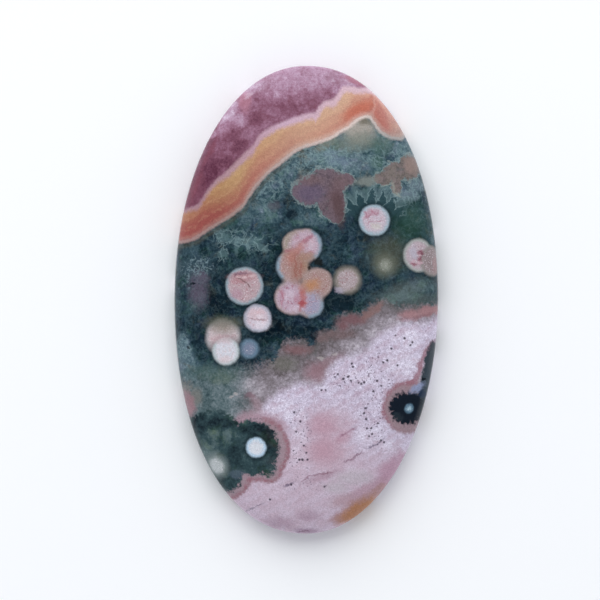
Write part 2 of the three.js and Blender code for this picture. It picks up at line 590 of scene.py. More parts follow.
lace_zone = merged(
    [
        oval(-6.3, 5.9, 3.2, 0.9, -10), oval(-8.3, 4.7, 0.6, 1.0), oval(-3.6, 11.0, 1.6, 1.2, 40),
        oval(-10.6, 3.4, 1.0, 1.0), oval(1.5, 14, 4.5, 1.3), oval(9.8, 11, 2.4, 1.4),
        oval(-12.2, -4.9, 0.8, 1.4), oval(8.0, 14.0, 2.4, 1.0),
    ]
)
LACE_COLOUR = (124, 148, 152)
rock = paint(rock, colour(*LACE_COLOUR), lace * (fade(lace_zone, 1.4, 0.7, 0.42) + 0.08))

# Near the left edge a dull purple patch is mottled dark, and pale crystals frost the moss.
mottling = fade(oval(-10.7, 0.9, 1.0, 1.9), 1.2, 0.9) * fade(crisp - felt, 0.1, 1.2, 0.7)
rock = paint(rock, colour(40, 52, 62), mottling)
frost = merged([oval(-10.7, 3.2, 1.5, 0.8), oval(-11.9, 2.2, 0.4, 1.1)], 0.2)
frost = merged([frost, oval(-12.1, -4.4, 0.4, 1.3), oval(-11.6, -5.7, 0.5, 0.7)], 0.1)
frosting = fade(frost + ragged * 0.3, 1.3, 0.8, 0.62) * fade(crisp + felt * 0.7, -0.2, 0.9)
rock = paint(rock, colour(122, 142, 152), frosting)

# Round the upper right orb the moss grew as dark pointed blades, edged with pale quartz.
BLADES_ROUND = (6.7, 6.4)
BLADE_COUNT = 21
BLADE_ROOTS = 3.2
BLADE_LENGTH = 1.35
blade_angle = reckon("ARCTAN2", y - BLADES_ROUND[1], x - BLADES_ROUND[0])
blade = reckon("PINGPONG", blade_angle * (BLADE_COUNT / (2 * math.pi)) + ragged * 0.35, 0.5) * 2
past_blades = oval(*BLADES_ROUND, 1, 1) - blade * BLADE_LENGTH - ragged * 0.3 - crisp * 0.1 - BLADE_ROOTS
blade_zone = fade(y, 7.4, 8.8) * fade(x, 10.2, 9.0)
pale_gap = fade(past_blades, -0.3, 0.5) * fade(past_blades, 1.6, 0.6, 0.6) * blade_zone
dark_blades = fade(past_blades, 0.2, -0.2, 0.75) * fade(past_blades, -2.2, -1.0) * blade_zone
rock = paint(rock, colour(92, 114, 118), pale_gap)
rock = paint(rock, colour(46, 70, 76), dark_blades)
rock = paint(rock, colour(*LACE_COLOUR), near(past_blades, 0.1, 0.3, 0.55) * blade_zone)
moss_colour = close_group(rock)

# Two brown patches in the upper moss, where the quartz is stained and free of moss. Their edges
# are toothed with crystals and outlined in pale quartz.
open_group("brown patches")
rock = moss_colour
OUTLINE_COLOUR = (140, 156, 156)
BROWN_PATCHES = [
    # two shades, then ovals
    (
        (108, 92, 101), (84, 70, 78),
        (0.6, 10.7, 1.85, 1.35), (2.0, 11.6, 1.9, 1.3), (3.9, 11.9, 0.8, 0.6),
        (2.4, 9.7, 1.3, 1.5, 10), (2.9, 8.4, 0.75, 0.8),
    ),
    (
        (122, 112, 108), (96, 88, 86),
        (10.2, 13.1, 1.1, 1.2), (8.9, 12.7, 1.2, 0.9), (8.9, 11.3, 0.5, 0.9), (7.5, 12.0, 0.9, 0.6),
    ),
]
# The pale outline comes first, then the brown in it, mottled, laced and flecked.
for shade, darker, *ovals in BROWN_PATCHES:
    toothed = merged([oval(*shape) for shape in ovals], 0.15) + crisp * 0.15 + ragged * 0.16
    rock = paint(rock, colour(*OUTLINE_COLOUR), near(toothed, 1.1, 0.18, 0.55))
    brown = paint(colour(*shade), colour(*darker), fade(wisps + felt, -0.5, 1.0))
    brown = paint(brown, colour(92, 106, 104), fade(other_tint + felt * 0.5, 0.2, 1.2, 0.6))
    brown = paint(brown, colour(134, 116, 122), lace * 0.3)
    brown = paint(brown, colour(66, 56, 62), fade(flecks + felt, 0.2, 1.4, 0.35))
    rock = paint(rock, brown, fade(toothed, 1.1, 0.92, 0.95))
rock = stain(
    rock,
    ((124, 130, 126), 0.8, 1.0, (5.9, 11.7, 1.0, 0.5)),
    ((98, 86, 110), 0.6, 1.2, (0.4, 10.5, 1.3, 0.9)),
    ((104, 80, 84), 0.5, 1.2, (2.9, 10.0, 0.8, 1.4)),
    ((86, 66, 68), 0.7, 1.0, (3.2, 9.0, 0.5, 1.7, 10)),
    ((122, 98, 100), 0.4, 1.2, (0.2, 11.8, 1.2, 0.5), (3.5, 11.6, 0.9, 0.7)),
    ((142, 122, 116), 0.7, 1.0, (10.4, 13.4, 0.7, 0.9)),
)
rock = vein(rock, (150, 156, 148), 0.5, 0.09, 1.1, (7.6, 11.2), (8.5, 11.6), (8.7, 10.6), (9.4, 10.2))
rock = close_group(rock)

# The greyer stretch between the moss and the pale end, teal on the left and greyish pink on the
# right. It is moss and quartz grown together, with red iron along its upper and lower edges.
open_group("grey stretch")
BASE_MOTTLING = 0.45
mottled = BASE_MOTTLING + wisps * 0.16 + (felt * 0.18 + flecks * 0.16)
mottled = mottled + fade(above_quartz, 2.2, 0.0, 0.28) * fade(x, -8, -4)
mottled = lift(
    mottled,
    (0.16, (4.6, -4.45, 1.4, 0.5), (-5.2, -8.4, 1.2, 0.9)),
    (-0.1, (1.0, -4.4, 2.0, 0.9)),
    (0.18, (-6.2, -8.3, 1.1, 0.6), (-5.2, -9.2, 0.9, 0.6), (-7.2, -9.6, 0.8, 0.4, 30)),
    (0.16, (6.5, -3.2, 0.9, 0.5), (8.3, -2.2, 1.0, 0.5), (-7.2, -11.3, 0.8, 0.5)),
    (-0.18, (-9.9, -9.8, 0.6, 1.0), (-9.4, -11.1, 1.6, 0.6), (-2.6, -7.0, 0.7, 0.6)),
    (-0.12, (-1.5, -5.4, 1.6, 0.8), (3.3, -3.6, 1.5, 0.5), (8.8, -0.2, 1.0, 0.5)),
)
teal_grey = shades(
    mottled, (0, (46, 64, 70)), (0.35, (84, 102, 106)), (0.7, (122, 134, 140)), (1.1, (170, 172, 178))
)
pink_grey = shades(
    mottled, (0, (72, 66, 68)), (0.35, (108, 100, 104)), (0.7, (142, 134, 142)), (1.1, (188, 180, 190))
)
grey = paint(teal_grey, pink_grey, fade(x + worn * 4, -8, -4))
grey = stain(
    grey,
    ((104, 118, 102), 0.5, 1.2, (-8.4, -7.7, 1.2, 0.6)),
    ((120, 118, 114), 0.7, 1.0, (-12.0, -8.6, 0.7, 0.7), (-10.9, -9.7, 0.6, 0.9)),
    ((154, 118, 126), 0.8, 1.0, (-11.7, -10.4, 0.6, 1.4, 10)),
    ((108, 108, 100), 0.6, 1.2, (-2.2, -6.3, 1.2, 0.7)),
)
soft_edge = 0.7 + fade(x, -3, -6, 1.6)
rock = paint(rock, grey, fade(above_pink / soft_edge + crisp * 0.3, 0.5, -0.5))
rock = paint(rock, colour(88, 88, 88), near(above_pink + felt * 0.4, -0.35, 0.8, 0.6) * fade(x, -3, 1))
rock = stain(
    rock,
    ((132, 96, 100), 0.65, 1.3, (-0.9, -4.95, 1.3, 0.5)),
    ((120, 98, 100), 0.6, 1.3, (3.0, -3.4, 1.7, 0.45), (1.7, -3.8, 0.6, 0.4)),
    ((122, 84, 90), 0.72, 1.3, (4.5, -2.0, 1.4, 0.5), (3.6, -2.5, 0.6, 0.5)),
    ((140, 106, 104), 0.68, 1.3, (7.0, -0.8, 0.8, 0.35, 35), (6.1, -1.4, 0.8, 0.4, 35)),
    ((150, 116, 126), 0.75, 1.3, (1.0, -7.2, 1.1, 1.0)),
    ((138, 108, 116), 0.65, 1.3, (2.1, -6.2, 1.6, 0.45, 27)),
    ((108, 84, 94), 0.7, 0.8, (-5.6, -9.5, 0.5, 0.3)),
    ((164, 122, 126), 0.8, 1.0, (10.3, -1.5, 1.1, 0.5), (12.2, -1.1, 1.4, 0.45, 10)),
    (
        (180, 172, 172), 0.6, 0.9, (-7.4, -9.6, 0.2, 0.12), (-7.0, -9.35, 0.2, 0.14),
        (1.5, -5.75, 0.4, 0.15), (2.85, -5.35, 0.3, 0.15),
    ),
)
rock = vein(rock, (158, 130, 140), 0.6, 0.45, 1.7, (-5.1, -9.8), (-4.5, -11.0), (-3.6, -11.9))
rock = vein(rock, (140, 102, 108), 0.7, 0.2, 1.0, (9.3, -2.05), (10.6, -1.95), (12.2, -1.4))
rock = close_group(rock)

# The pale end: lilac quartz, sugary with fine grains. It has rose clouds, faint slanting streaks
# and an ochre corner, and a few hairlines where it cracked and healed.
open_group("lilac quartz")
sugar = felt * 0.12 + (flecks * 0.2 + grain * 0.14) + wisps * 0.07
BASE_SUGAR = 0.54
sugary = BASE_SUGAR + sugar * (1 - fade(y, -11, -15, 0.4)) - fade(y, -15.5, -17.5, 0.04)
sugary = lift(
    sugary,
    (0.16, (10.2, -3.8, 1.1, 1.0), (9.5, -6.3, 1.7, 1.4), (5.3, -7.5, 1.6, 0.7)),
    (0.16, (-2.0, -10.9, 1.8, 0.9, -10), (-0.7, -14.5, 0.8, 3.0)),
    (0.14, (6.3, -13.3, 1.1, 1.0), (8.4, -14.5, 1.2, 0.6)),
    (0.10, (-3.4, -19.0, 1.5, 0.8), (4.6, -17.3, 1.9, 0.7)),
)
quartz = shades(
    sugary, (0, (148, 130, 152)), (0.35, (188, 176, 197)), (0.65, (208, 199, 218)), (1.05, (236, 232, 246))
)
ACROSS_STREAKS = (-0.5, 0.87)
STREAKS_RATE = 6
across_streaks = x * ACROSS_STREAKS[0] + y * ACROSS_STREAKS[1]
streak = reckon("SINE", across_streaks * STREAKS_RATE + wisps * 2.5)
rosy = fade(wisps + streak * 0.35 + felt * 0.3 - fade(y, -13, -17, 0.3), 0.4, -1.0, 0.5)
quartz = paint(quartz, colour(178, 150, 167), rosy)
quartz = paint(quartz, colour(200, 176, 190), fade(y + x * 0.2, -11.5, -16, 0.5))
quartz = stain(
    quartz,
    ((188, 160, 174), 0.7, 1.4, (2.2, -12.2, 2.4, 1.5), (2.0, -14.7, 2.1, 2.0)),
    ((182, 140, 156), 0.6, 1.5, (1.6, -12.6, 1.2, 1.2), (1.7, -14.8, 1.3, 1.3), (3.6, -13.6, 0.9, 0.6, 40)),
    ((184, 176, 184), 0.6, 1.2, (4.6, -17.6, 1.9, 0.7), (3.0, -18.6, 1.2, 0.6)),
    ((168, 138, 154), 0.6, 1.2, (1.6, -17.5, 2.0, 0.35, 20)),
    ((180, 142, 162), 0.85, 1.1, (8.6, -17.1, 1.2, 2.1, -38), (9.5, -16.0, 0.5, 0.9, -30)),
    ((176, 142, 156), 0.7, 1.2, (6.0, -18.9, 2.2, 0.6, 30)),
    ((172, 142, 150), 0.6, 1.2, (3.5, -19.9, 1.2, 0.6, 20)),
    (
        (170, 134, 134), 0.85, 1.0, (5.4, -20.1, 2.2, 0.6, 30), (3.4, -21.6, 1.0, 0.5, 20),
        (7.2, -19.0, 0.9, 0.5, 40),
    ),
    ((172, 122, 90), 0.95, 0.9, (5.4, -20.95, 2.4, 0.85, 31)),
    # darker towards the lower tip
    ((166, 140, 158), 0.6, 1.1, (-2.7, -22.2, 1.4, 0.6), (0.3, -21.4, 1.1, 0.6)),
    ((148, 120, 142), 0.6, 1.0, (0, -23.0, 1.3, 0.35)),
)
QUARTZ_LINES = [
    # colour, half width, then points
    ((150, 112, 132), 0.1, (3.4, -13.6), (4.0, -13.1), (4.9, -12.6)),
    ((104, 92, 114), 0.08, (-2.2, -18.5), (-1.7, -18.2), (-1.2, -18.0)),
    ((138, 104, 120), 0.08, (-0.4, -17.85), (0.6, -17.35), (2.6, -17.05)),
    ((134, 104, 122), 0.09, (3.9, -16.1), (4.7, -15.6), (5.4, -15.1)),
    ((116, 108, 128), 0.09, (6.1, -14.65), (6.9, -14.3), (7.6, -13.8)),
    ((118, 108, 126), 0.07, (-5.9, -21.0), (-5.0, -20.6), (-4.3, -20.2)),
    ((120, 92, 112), 0.07, (-0.9, -23.3), (-0.2, -22.9), (0.3, -22.95)),
]
for shade, half_width, *points in QUARTZ_LINES:
    quartz = vein(quartz, shade, 0.75, half_width, 1.3, *points)
# Small dark crystals lie thickest in two columns beside the rose cloud.
specks = clouds(0.2, 1, 0.5, away=77)
speck_zone = merged(
    [
        oval(6.9, -9.5, 1.9, 5.0), oval(-0.7, -14, 1.2, 4.4), oval(4.3, -7.9, 2.6, 1.2),
        oval(0, -18.2, 2.6, 0.6),
    ]
)
speckled = fade(specks, 0.5, 0.8) * fade(speck_zone + ragged * 0.3, 1.3, 0.6, 0.85)
quartz = paint(quartz, colour(100, 88, 104), speckled)
rock = paint(rock, quartz, fade(above_quartz, 0.65, -0.65))
rock = close_group(rock)

# The lower green lobe and the small dark flower at the right edge: moss again, with a toothed
# edge. Each is set off from the lilac quartz by a pinkish gap and a rust-red line.
open_group("lobe and flower")
RUST = (150, 106, 118)
GAP = (152, 130, 138)
# circles that melt together, as x, y and radius
LOBE = [(-5.4, -14.6, 2.72), (-9.3, -14.8, 3.75), (-7.9, -17.6, 1.5), (-3.9, -16.6, 0.8)]
LOBE_RUST = [(-4.85, -14.75, 3.05), (-3.7, -16.9, 1.1), (-8.2, -17.2, 2.65)]
to_lobe = merged([oval(at_x, at_y, 1, 1) - radius for at_x, at_y, radius in LOBE], 0.15)
calm_face = shift("MULTIPLY", calm_spot, (1, 1, 0))
to_rust = merged(
    [measure("DISTANCE", calm_face, (at_x, at_y, 0)) - radius for at_x, at_y, radius in LOBE_RUST], 0.4
)
rust_zone = fade(x - y * 0.7, 3.2, 4.6)
rosy_edge = fade(to_rust + worn * 2, 1.2, 0.2, 0.85) * fade(y, -13.8, -12.2)
rock = paint(rock, colour(170, 140, 153), rosy_edge)
rock = paint(rock, colour(*GAP), fade(to_rust + worn, 0.35, 0.0, 0.9) * rust_zone)
rust_line = near(to_rust + ragged * 0.1, 0.0, 0.42) * rust_zone
rock = paint(rock, colour(*RUST), rust_line * fade(felt + crisp * 0.5, 1.3, -0.7))
LOBE_LIGHTNESS = 0.44
lobe_light = lift(
    LOBE_LIGHTNESS + wisps * 0.3 + (felt * 0.2 + ragged * 0.1),
    (-0.3, (-10.7, -12.4, 1.0, 1.1), (-8.9, -12.3, 1.9, 0.5), (-4.6, -12.8, 1.8, 0.6)),
    (0.28, (-9.2, -13.7, 0.6, 1.0), (-7.9, -13.4, 0.5, 0.7), (-9.6, -15.1, 0.9, 1.0)),
    (-0.22, (-3.4, -14.6, 0.7, 1.6), (-7.0, -15.5, 0.8, 1.0)),
)
lobe = shades(lobe_light, (0, (22, 34, 42)), (0.5, (55, 76, 81)), (1, (98, 116, 118)))
lobe_green = shades(lobe_light, (0, (20, 34, 30)), (0.5, (54, 76, 66)), (1, (100, 118, 100)))
lobe = paint(lobe, lobe_green, fade(tint, -0.1, 0.8, 0.8))
dull_side = fade(x + y * 0.2, -8.0, -5.4, 0.5) * fade(other_tint, -0.5, 0.8)
lobe = paint(lobe, colour(78, 74, 76), dull_side)
lobe = stain(lobe, ((82, 96, 110), 0.7, 0.9, (-6.8, -17.3, 0.8, 0.5)))
rock = paint(rock, lobe, fade(to_lobe + crisp * 0.26 + ragged * 0.14, 0.25, -0.2))

FLOWER = (10.0, -10.75)
PETAL_COUNT = 19
petal_angle = reckon("ARCTAN2", y - FLOWER[1], x - FLOWER[0]) * (PETAL_COUNT / 2)
petal = reckon("ABSOLUTE", reckon("SINE", petal_angle + ragged * 1.1))
flower = oval(*FLOWER, 1.12, 1) - petal * 0.2 + crisp * 0.2 + ragged * 0.12
FLOWER_RUST_RADIUS = 2.55
from_flower = measure("DISTANCE", calm_face, (10.2, -10.7, 0)) + ragged * 0.1
rock = paint(
    rock, colour(*GAP), fade(from_flower + worn, FLOWER_RUST_RADIUS + 0.3, FLOWER_RUST_RADIUS - 0.15)
)
rust_line = near(from_flower, FLOWER_RUST_RADIUS, 0.42) * fade(felt + crisp * 0.5, 1.3, -0.7)
rock = paint(rock, colour(*RUST), rust_line * fade(y, -14.0, -11.0))
# The rust line and the dark moss go on up the stone's edge from the flower.
rock = vein(rock, (160, 150, 160), 0.8, 0.35, 1.0, (12.5, -5.2), (11.6, -7.4), (11.0, -8.8))
rock = vein(
    rock, RUST, 0.8, 0.28, 1.0, (12.7, -4.2), (11.8, -5.2), (11.35, -6.2), (11.1, -7.2), (10.8, -8.0),
    (10.2, -8.3),
)
rock = vein(rock, (44, 58, 66), 0.95, 0.65, 0.4, (12.7, -4.8), (12.05, -7.4), (11.9, -10.6))
rock = stain(rock, ((54, 66, 76), 0.9, 0.6, (11.5, -10.2, 0.8, 1.5), (12.1, -8.2, 0.35, 1.4)))
rock = paint(rock, colour(24, 32, 43), fade(flower, 1.68, 1.3))
rock = stain(
    rock,
    ((46, 56, 64), 0.6, 0.9, (11.6, -11.2, 0.4, 0.9), (9.0, -11.6, 0.5, 0.4)),
    ((36, 50, 74), 0.9, 0.8, (11.5, -9.3, 0.5, 0.4)),
    ((140, 150, 182), 0.9, 1.1, (11.0, -8.75, 0.8, 0.35, 28)),
    ((14, 22, 30), 0.9, 0.6, (11.7, -7.9, 0.16, 0.18)),
)
rock = close_group(rock)

# The band: coral red at the cream line, then salmon and orange, then yellow ochre, in faint
# streaks along its length, with a lilac line between it and the mauve end.
open_group("band")
BAND_WIDTH = 3.3
up_band = above_cream / BAND_WIDTH + felt * 0.05 + wisps * 0.03
band_low = shades(
    x, (-13, (148, 82, 77)), (-10.5, (143, 76, 72)), (-8.5, (142, 77, 72)), (-6.5, (154, 94, 86)),
    (-4.5, (168, 112, 100)), (-1.7, (176, 130, 113)), (0, (186, 142, 122)), (3, (184, 132, 116)),
    (5.5, (176, 106, 90)), (7.5, (168, 108, 98)), (8.9, (170, 138, 130)), (10, (166, 142, 136)),
)
band_high = shades(
    x, (-13, (170, 128, 98)), (-10.5, (166, 124, 90)), (-8.5, (166, 128, 92)), (-6.5, (178, 143, 104)),
    (-4.5, (184, 146, 110)), (0, (194, 157, 130)), (4, (194, 158, 134)), (6.4, (194, 148, 134)),
    (10, (194, 146, 140)),
)
BAND_STREAKS_RATE = 7
streaks = reckon("SINE", above_cream * BAND_STREAKS_RATE + wisps * 3) + felt
band = paint(band_low, band_high, fade(up_band - fade(x, -7, -11, 0.17), 0.1, 0.85))
band = paint(band, colour(214, 176, 142), fade(streaks, 0.0, 1.8, 0.16))
band = paint(band, colour(146, 88, 78), fade(streaks, 0.0, -1.8, 0.16))
band = stain(
    band,
    ((172, 108, 102), 0.5, 1.1, (7.5, 18.2, 0.5, 1.5, 20)),
    ((204, 160, 156), 0.7, 1.0, (7.2, 20.2, 1.4, 0.35, -38)),
    ((180, 104, 86), 0.8, 1.2, (5.1, 18.8, 1.6, 0.6, 30)),
)
band = vein(band, (204, 168, 160), 0.3, 0.14, 1.4, (6.6, 18.5), (6.75, 19.3), (6.7, 20.1))
cream = shades(
    x, (-13, (150, 124, 122)), (-8, (150, 126, 122)), (-4, (168, 148, 144)), (-1.7, (180, 161, 156)),
    (3, (204, 186, 180)), (5.8, (202, 186, 180)), (8, (158, 153, 151)), (10, (158, 153, 151)),
)
lilac = shades(
    x, (-13, (150, 118, 130)), (-7, (166, 134, 144)), (-5, (176, 142, 158)), (-2, (190, 160, 180)),
    (3, (196, 166, 178)), (10, (200, 176, 186)),
)
# the cream line, with an olive stain below it, then the band and the lilac line over its edges
from_cream = above_cream + crisp * 0.05
from_mauve = above_mauve_edge + crisp * 0.06
rock = paint(rock, colour(84, 82, 70), near(from_cream, -0.55, 0.38, 0.42) * fade(x, 2, -4))
rock = paint(rock, cream, fade(from_cream, -0.42, -0.12))
rock = paint(rock, band, fade(from_cream, -0.06, 0.14, 0.6))
rock = paint(rock, band, fade(from_cream, 0.05, 0.6))
rock = paint(rock, lilac, fade(from_mauve - fade(x, -6, -10, 0.25), -0.8, -0.25, 0.95))
rock = close_group(rock)

# The mauve end: plum-coloured quartz, coloured by fine iron dust and clouded with lilac where the
# quartz is purer
open_group("mauve end")
BASE_CLOUDING = 0.22
clouded = BASE_CLOUDING + wisps * 0.15 + (felt * 0.12 + flecks * 0.07) + fade(x - y * 0.2, -12, -6, 0.19)
# paler towards the top end
clouded = clouded + fade(y + wisps * 0.5 - x * 0.08, 19.7, 21.6, 0.34)
clouded = lift(
    clouded,
    (0.14, (-8.3, 15.0, 1.1, 0.8, 30), (-5.9, 16.4, 0.9, 0.5, 40)),
    (0.38, (-8.0, 17.4, 0.8, 1.4, -30), (-6.8, 17.7, 1.0, 0.7), (-9.3, 16.4, 0.5, 0.4)),
    (0.36, (-7.7, 18.9, 1.3, 0.8, 50)),
    (0.2, (-7.0, 19.8, 1.1, 0.5, 35)),
    (0.22, (-5.2, 20.9, 1.3, 0.6, 30)),
    (0.12, (-6.2, 18.6, 1.8, 1.0, 30), (-3.6, 18.7, 0.9, 0.5)),
    (-0.14, (-6.6, 15.2, 0.9, 0.6, 40), (-5.2, 18.0, 1.1, 0.6, 20), (-9.8, 12.4, 0.8, 1.6, -30)),
    (-0.10, (-2.0, 18.8, 2.5, 0.6), (-7.9, 13.6, 0.6, 0.5)),
)
mauve = shades(
    clouded, (0, (90, 48, 66)), (0.3, (120, 76, 95)), (0.55, (146, 106, 128)), (0.8, (170, 140, 162)),
    (1.15, (208, 194, 212)),
)
mauve = paint(mauve, colour(112, 62, 76), fade(tint, 0.0, 0.9, 0.35))
mauve = stain(
    mauve,
    ((176, 124, 140), 0.55, 1.2, (-6.1, 19.6, 0.6, 1.0)),
    ((196, 172, 188), 0.5, 1.2, (-5.7, 20.3, 0.5, 0.2, 40)),
    ((152, 98, 114), 0.85, 0.9, (4.9, 21.8, 1.2, 0.4, -20)),
    ((114, 66, 80), 0.6, 1.4, (-11.6, 10.6, 1.2, 1.6)),
    ((128, 72, 86), 0.4, 1.0, (-10.9, 11.4, 0.25, 1.6, -25), (-9.6, 14.6, 0.25, 1.6, -30)),
)
rock = paint(rock, mauve, fade(above_mauve_edge, -0.12, 0.28))
rock = close_group(rock)

# The orbs: little balls of quartz that grew in the moss, most of them pale, with a bluish rim
# and a pink heart. Those that lie under the real stone's face look blurred, and are drawn so.
open_group("orbs")
HALO_COLOUR = (12, 22, 30)
GRAIN_COLOUR = (220, 214, 222)
granular = felt * 0.12 + flecks * 0.14
rose_flecks = fade(flecks + felt * 0.7, -0.1, 0.9, 0.9)
pale_grains = fade(grain + flecks * 0.6, 0.1, 1.4, 0.6)


def face_height(at_x, at_y):
    """The height of the face over a place given in mm, in mm."""
    fullness = FULLNESS[at_x >= 0, at_y >= 0]
    share = sum(abs(2 * at * MM / size) ** fullness for at, size in ((at_x, WIDTH), (at_y, LENGTH)))
    return dome_height(min(1, share ** (1 / fullness))) / MM


ORBS = [
    # x, y, radius, edge blur, rim width, dark halo, heart, flecks, rim
    (7.8, 3.4, 0.9, 1.8, 0.4, 0.0, (138, 142, 132), (122, 126, 112), (110, 114, 102)),
    (-8.95, -16.5, 1.1, 1.4, 0.3, 0.0, (182, 188, 190), (164, 170, 172), (140, 150, 150)),
    (-8.25, -3.7, 1.75, 0.5, 0.3, 0.3, (190, 176, 180), (178, 150, 154), (160, 156, 160)),
    (-5.65, -4.85, 0.95, 0.45, 0.5, 0.3, (120, 130, 152), (136, 128, 150), (98, 122, 142)),
    (-7.95, -5.1, 1.37, 0.35, 0.3, 0.4, (206, 206, 216), (198, 184, 190), (176, 186, 190)),
    (-6.12, 1.35, 1.86, 0.3, 0.32, 0.5, (178, 156, 162), (164, 122, 130), (142, 158, 168)),
    (-4.82, -1.82, 1.36, 0.3, 0.25, 0.5, (198, 186, 198), (190, 158, 168), (164, 166, 180)),
    (6.72, 7.85, 1.52, 0.3, 0.36, 0.5, (190, 178, 190), (178, 150, 162), (154, 172, 184)),
    (4.05, 1.95, 1.32, 0.7, 0.4, 0.3, (168, 154, 158), (152, 122, 126), (134, 128, 120)),
    (-4.97, -14.6, 1.0, 0.3, 0.3, 0.6, (216, 220, 228), (200, 200, 210), (176, 200, 220)),
    (11.15, 4.4, 1.65, 0.35, 0.3, 0.3, (178, 162, 170), (158, 130, 138), (158, 162, 160)),
    (12.5, 3.85, 1.5, 0.4, 0.3, 0.0, (146, 132, 134), (128, 110, 112), (140, 134, 132)),
    (10.2, -10.8, 0.5, 0.25, 0.3, 0.0, (170, 198, 212), (142, 172, 190), (84, 112, 132)),
]
CLUSTER = [
    # x, y, radius, edge blur, heart, flecks
    (-1.1, 5.5, 1.2, 1.9, (144, 138, 118), (134, 122, 108)),
    (-0.1, 5.35, 1.6, 0.9, (182, 160, 174), (164, 118, 134)),
    (-1.4, 3.3, 1.54, 1.4, (166, 138, 134), (138, 92, 90)),
    (1.1, 1.65, 1.45, 1.0, (164, 138, 134), (142, 98, 94)),
    (0.4, -0.5, 1.25, 1.4, (154, 150, 172), (148, 122, 140)),
    (-1.45, 0.2, 1.64, 0.9, (182, 160, 176), (150, 92, 112)),
]
DEEP_ORBS = [
    # x, y, height, radius, heart, flecks and rim
    (-5.6, 5.4, 0, 1.7, (190, 176, 180), (166, 130, 140), (150, 164, 172)),
    (-2.9, 3.4, 0, 1.3, (202, 196, 206), (180, 150, 160), (164, 172, 184)),
    (2.6, 6.8, 0, 1.9, (176, 152, 156), (150, 106, 112), (150, 160, 168)),
    (4.9, 4.3, 0, 1.2, (186, 168, 160), (160, 126, 110), (160, 152, 140)),
    (8.2, 8.4, 0, 1.5, (196, 184, 192), (168, 130, 146), (156, 170, 182)),
    (-8.6, -0.4, 0, 1.2, (192, 182, 184), (170, 140, 146), (160, 166, 170)),
    (-0.6, -0.6, 0, 1.6, (184, 166, 174), (160, 112, 122), (152, 164, 174)),
    (6.6, 0.6, 0, 1.0, (206, 204, 212), (190, 170, 178), (170, 182, 190)),
    (-13.2, 1.6, 0.5, 0.9, (196, 184, 188), (172, 138, 146), (160, 170, 176)),
    (13.2, -0.9, 0.5, 0.8, (190, 178, 182), (168, 134, 144), (158, 168, 176)),
    (12.7, 6.6, 0.5, 0.8, (200, 192, 200), (178, 146, 156), (164, 174, 184)),
]
ORB_CALM = 0.3
orb_place = shift("MULTIPLY_ADD", ruffle, (ORB_CALM, ORB_CALM, 0), place)


def orb(below, middle, radius, blur, rim_width, halo, heart, fleck, rim):
    """Grow one orb in the stone: a grainy ball with a rim, in a dark halo."""
    out = measure("DISTANCE", orb_place, middle) - radius
    if halo:
        below = paint(below, colour(*HALO_COLOUR), fade(out, 0.6, 0.0, halo))
    ball = paint(paint(colour(*heart), colour(*fleck), rose_flecks), colour(*GRAIN_COLOUR), pale_grains)
    ball = paint(ball, colour(*rim), fade(out + granular, -rim_width - 0.2, -0.05))
    return paint(below, ball, fade(out, blur / 2, -blur / 2))


# The joined group: six balls that grew into one another, salmon and orange where they met
cluster_outs = [
    measure("DISTANCE", orb_place, (at_x, at_y, face_height(at_x, at_y))) - radius
    for at_x, at_y, radius, *looks in CLUSTER
]
CLUSTER_MELT = 0.8
past_cluster = merged(cluster_outs, CLUSTER_MELT)
rock = paint(rock, colour(*HALO_COLOUR), fade(past_cluster, 0.75, 0.0, 0.6))
cluster_body = colour(180, 158, 160)
for out, (_, _, _, blur, heart, fleck) in zip(cluster_outs, CLUSTER):
    body = paint(paint(colour(*heart), colour(*fleck), rose_flecks), colour(208, 192, 200), pale_grains)
    cluster_body = paint(cluster_body, body, fade(out + granular * 1.6, blur / 2, -blur / 2))
cluster_body = stain(
    cluster_body,
    ((168, 108, 96), 0.65, 1.3, (-0.9, 4.9, 1.1, 0.45, 35), (-1.5, 4.2, 0.5, 0.7)),
    ((150, 74, 92), 0.65, 1.2, (0.15, 6.0, 0.7, 0.25, 45), (-1.8, 4.8, 0.3, 0.2)),
    ((152, 116, 92), 0.7, 1.3, (0.2, 4.2, 0.9, 0.5), (0.0, 3.4, 0.5, 0.6)),
    ((150, 104, 90), 0.6, 1.3, (-0.9, 2.8, 0.6, 1.4)),
    ((178, 128, 92), 0.8, 1.4, (0.4, 1.4, 0.9, 0.55, 15)),
    ((168, 92, 86), 0.75, 1.3, (-0.35, 0.5, 0.35, 0.8), (-0.4, -0.4, 0.4, 0.35)),
    ((154, 62, 72), 0.7, 1.1, (-0.45, -0.3, 0.25, 0.3), (-0.6, -0.9, 0.15, 0.25)),
    ((166, 110, 126), 0.55, 1.3, (-1.0, 0.1, 0.3, 0.5), (-2.4, 0.6, 0.3, 0.5)),
    ((204, 188, 202), 0.5, 1.2, (-1.7, 0.4, 0.6, 0.5), (-1.2, -0.9, 0.6, 0.3)),
    ((196, 180, 192), 0.4, 1.2, (0.4, 5.5, 0.6, 0.5, 40)),
)
for shade, *points in (
    ((140, 84, 76), (-1.1, 4.2), (-1.1, 3.0), (-1.0, 2.0)),
    ((146, 90, 82), (-0.6, 3.6), (-0.55, 2.8), (-0.6, 2.0)),
    ((164, 104, 120), (-2.6, 0.8), (-2.3, 0.1), (-2.4, -0.5)),
):
    cluster_body = vein(cluster_body, shade, 0.6, 0.09, 1.3, *points)
blue_side = merged([oval(-3.1, 2.9, 1.0, 1.6), oval(1.5, 5.6, 1.2, 1.8), oval(1.6, -1.5, 1.4, 1.4)])
cluster_rim = paint(colour(146, 134, 126), colour(130, 150, 166), fade(blue_side, 1.3, 0.8))
rim_share = fade(past_cluster + granular, -0.55, 0.0) * (fade(blue_side, 1.5, 0.7, 0.6) + 0.35)
cluster_body = paint(cluster_body, cluster_rim, rim_share)
rock = paint(rock, cluster_body, fade(past_cluster, 0.2, -0.16))
for at_x, at_y, *looks in ORBS:
    rock = orb(rock, (at_x, at_y, face_height(at_x, at_y)), *looks)
